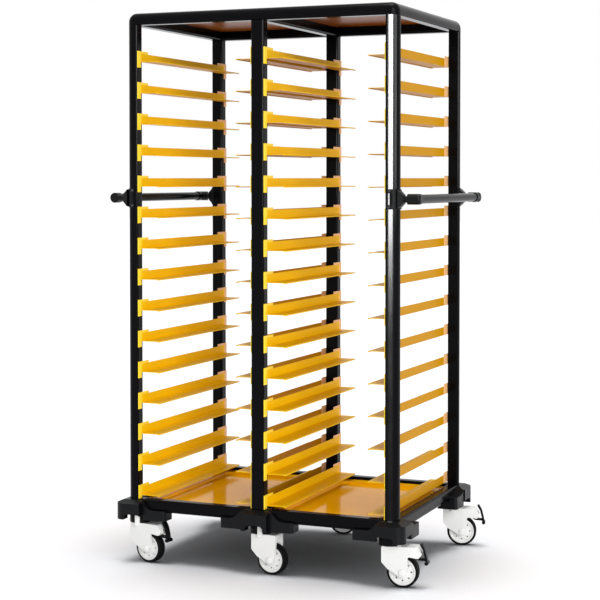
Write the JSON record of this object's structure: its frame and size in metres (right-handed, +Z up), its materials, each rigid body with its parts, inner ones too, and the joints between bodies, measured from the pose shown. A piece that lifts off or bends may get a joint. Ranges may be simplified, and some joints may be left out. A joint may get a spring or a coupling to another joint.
{
  "type": "tray trolley",
  "caption": "Tall two-bay tray trolley: black tube frame, yellow L-shaped tray slides, base and roof panels, corner bumpers, side push bars and hooded swivel casters, some braked.",
  "frame": {"origin": "on the floor, under the middle of the trolley", "axes": "+X to the right seen from the front, +Y towards the back, +Z up"},
  "size_m": [1.1038, 0.744, 1.806],
  "materials": {
    "frame_tube": "black powder coat, satin",
    "corner_connector": "black powder coat, satin",
    "roof_sheet": "yellow coated sheet",
    "base_moulding": "yellow moulded plastic, glossy",
    "slide_sheet": "yellow coated sheet",
    "slide_bracket": "bright yellow moulded plastic",
    "bumper": "black moulded plastic, fine grain",
    "handle_bar": "black coated tube",
    "handle_fitting": "black moulded plastic",
    "screw": "dark zinc plated",
    "swivel_head": "black moulded plastic",
    "caster_housing": "white moulded plastic",
    "wheel_disc": "white moulded plastic",
    "tyre": "black rubber",
    "axle": "zinc plated",
    "brake_pedal": "black moulded plastic"
  },
  "bodies": {
    "frame": {"base_panel_left": "base_moulding", "base_panel_right": "base_moulding", "bottom_rails_long": "frame_tube", "bottom_rails_side": "frame_tube", "bumper_corners_back": "bumper", "bumper_corners_front": "bumper", "bumpers_mid": "bumper", "caster_heads": "swivel_head", "handle_bar_left": "handle_bar", "handle_bar_right": "handle_bar", "handle_brackets": "handle_fitting", "handle_elbows": "handle_fitting", "handle_screws": "screw", "mid_rails": "frame_tube", "post_back_left": "frame_tube", "post_back_mid": "frame_tube", "post_back_right": "frame_tube", "post_front_left": "frame_tube", "post_front_mid": "frame_tube", "post_front_right": "frame_tube", "roof_panel_left": "roof_sheet", "roof_panel_right": "roof_sheet", "slide_brackets_back": "slide_bracket", "slide_brackets_front": "slide_bracket", "slides_left_inner": "slide_sheet", "slides_left_outer": "slide_sheet", "slides_right_inner": "slide_sheet", "slides_right_outer": "slide_sheet", "top_corners": "corner_connector", "top_rails_long": "frame_tube", "top_rails_side": "frame_tube"},
    "caster_front_left": {"housing_front_left": "caster_housing", "axle_front_left": "axle"},
    "rolling_front_left": {"wheel_front_left": "wheel_disc", "tyre_front_left": "tyre"},
    "brake_front_left": {"pedal_front_left": "brake_pedal"},
    "caster_front_mid": {"housing_front_mid": "caster_housing", "axle_front_mid": "axle"},
    "rolling_front_mid": {"wheel_front_mid": "wheel_disc", "tyre_front_mid": "tyre"},
    "caster_front_right": {"housing_front_right": "caster_housing", "axle_front_right": "axle"},
    "rolling_front_right": {"wheel_front_right": "wheel_disc", "tyre_front_right": "tyre"},
    "brake_front_right": {"pedal_front_right": "brake_pedal"},
    "caster_back_left": {"housing_back_left": "caster_housing", "axle_back_left": "axle"},
    "rolling_back_left": {"wheel_back_left": "wheel_disc", "tyre_back_left": "tyre"},
    "brake_back_left": {"pedal_back_left": "brake_pedal"},
    "caster_back_mid": {"housing_back_mid": "caster_housing", "axle_back_mid": "axle"},
    "rolling_back_mid": {"wheel_back_mid": "wheel_disc", "tyre_back_mid": "tyre"},
    "caster_back_right": {"housing_back_right": "caster_housing", "axle_back_right": "axle"},
    "rolling_back_right": {"wheel_back_right": "wheel_disc", "tyre_back_right": "tyre"},
    "brake_back_right": {"pedal_back_right": "brake_pedal"}
  },
  "joints": [
    {"name": "swivel_front_left", "type": "hinge", "parent": "frame", "child": "caster_front_left", "pos_m": [-0.438, -0.308, 0.13], "axis": [0, 0, 1], "continuous": true},
    {"name": "roll_front_left", "type": "hinge", "parent": "caster_front_left", "child": "rolling_front_left", "pos_m": [-0.39664, -0.31529, 0.05], "axis": [-0.1736, -0.9848, 0], "continuous": true},
    {"name": "brake_front_left", "type": "hinge", "parent": "caster_front_left", "child": "brake_front_left", "pos_m": [-0.37399, -0.31929, 0.107], "axis": [0.1736, 0.9848, 0], "range_deg": [0, 8]},
    {"name": "swivel_front_mid", "type": "hinge", "parent": "frame", "child": "caster_front_mid", "pos_m": [0, -0.308, 0.13], "axis": [0, 0, 1], "continuous": true},
    {"name": "roll_front_mid", "type": "hinge", "parent": "caster_front_mid", "child": "rolling_front_mid", "pos_m": [0.0419, -0.31093, 0.05], "axis": [-0.0698, -0.9976, 0], "continuous": true},
    {"name": "swivel_front_right", "type": "hinge", "parent": "frame", "child": "caster_front_right", "pos_m": [0.438, -0.308, 0.13], "axis": [0, 0, 1], "continuous": true},
    {"name": "roll_front_right", "type": "hinge", "parent": "caster_front_right", "child": "rolling_front_right", "pos_m": [0.47969, -0.30288, 0.05], "axis": [0.1219, -0.9925, 0], "continuous": true},
    {"name": "brake_front_right", "type": "hinge", "parent": "caster_front_right", "child": "brake_front_right", "pos_m": [0.50252, -0.30008, 0.107], "axis": [-0.1219, 0.9925, 0], "range_deg": [0, 8]},
    {"name": "swivel_back_left", "type": "hinge", "parent": "frame", "child": "caster_back_left", "pos_m": [-0.438, 0.308, 0.13], "axis": [0, 0, 1], "continuous": true},
    {"name": "roll_back_left", "type": "hinge", "parent": "caster_back_left", "child": "rolling_back_left", "pos_m": [-0.39616, 0.31166, 0.05], "axis": [0.0872, -0.9962, 0], "continuous": true},
    {"name": "brake_back_left", "type": "hinge", "parent": "caster_back_left", "child": "brake_back_left", "pos_m": [-0.37325, 0.31367, 0.107], "axis": [-0.0872, 0.9962, 0], "range_deg": [0, 8]},
    {"name": "swivel_back_mid", "type": "hinge", "parent": "frame", "child": "caster_back_mid", "pos_m": [0, 0.308, 0.13], "axis": [0, 0, 1], "continuous": true},
    {"name": "roll_back_mid", "type": "hinge", "parent": "caster_back_mid", "child": "rolling_back_mid", "pos_m": [0.04108, 0.31673, 0.05], "axis": [0.2079, -0.9781, 0], "continuous": true},
    {"name": "swivel_back_right", "type": "hinge", "parent": "frame", "child": "caster_back_right", "pos_m": [0.438, 0.308, 0.13], "axis": [0, 0, 1], "continuous": true},
    {"name": "roll_back_right", "type": "hinge", "parent": "caster_back_right", "child": "rolling_back_right", "pos_m": [0.47857, 0.31887, 0.05], "axis": [0.2588, -0.9659, 0], "continuous": true},
    {"name": "brake_back_right", "type": "hinge", "parent": "caster_back_right", "child": "brake_back_right", "pos_m": [0.50079, 0.32482, 0.107], "axis": [-0.2588, 0.9659, 0], "range_deg": [0, 8]}
  ]
}
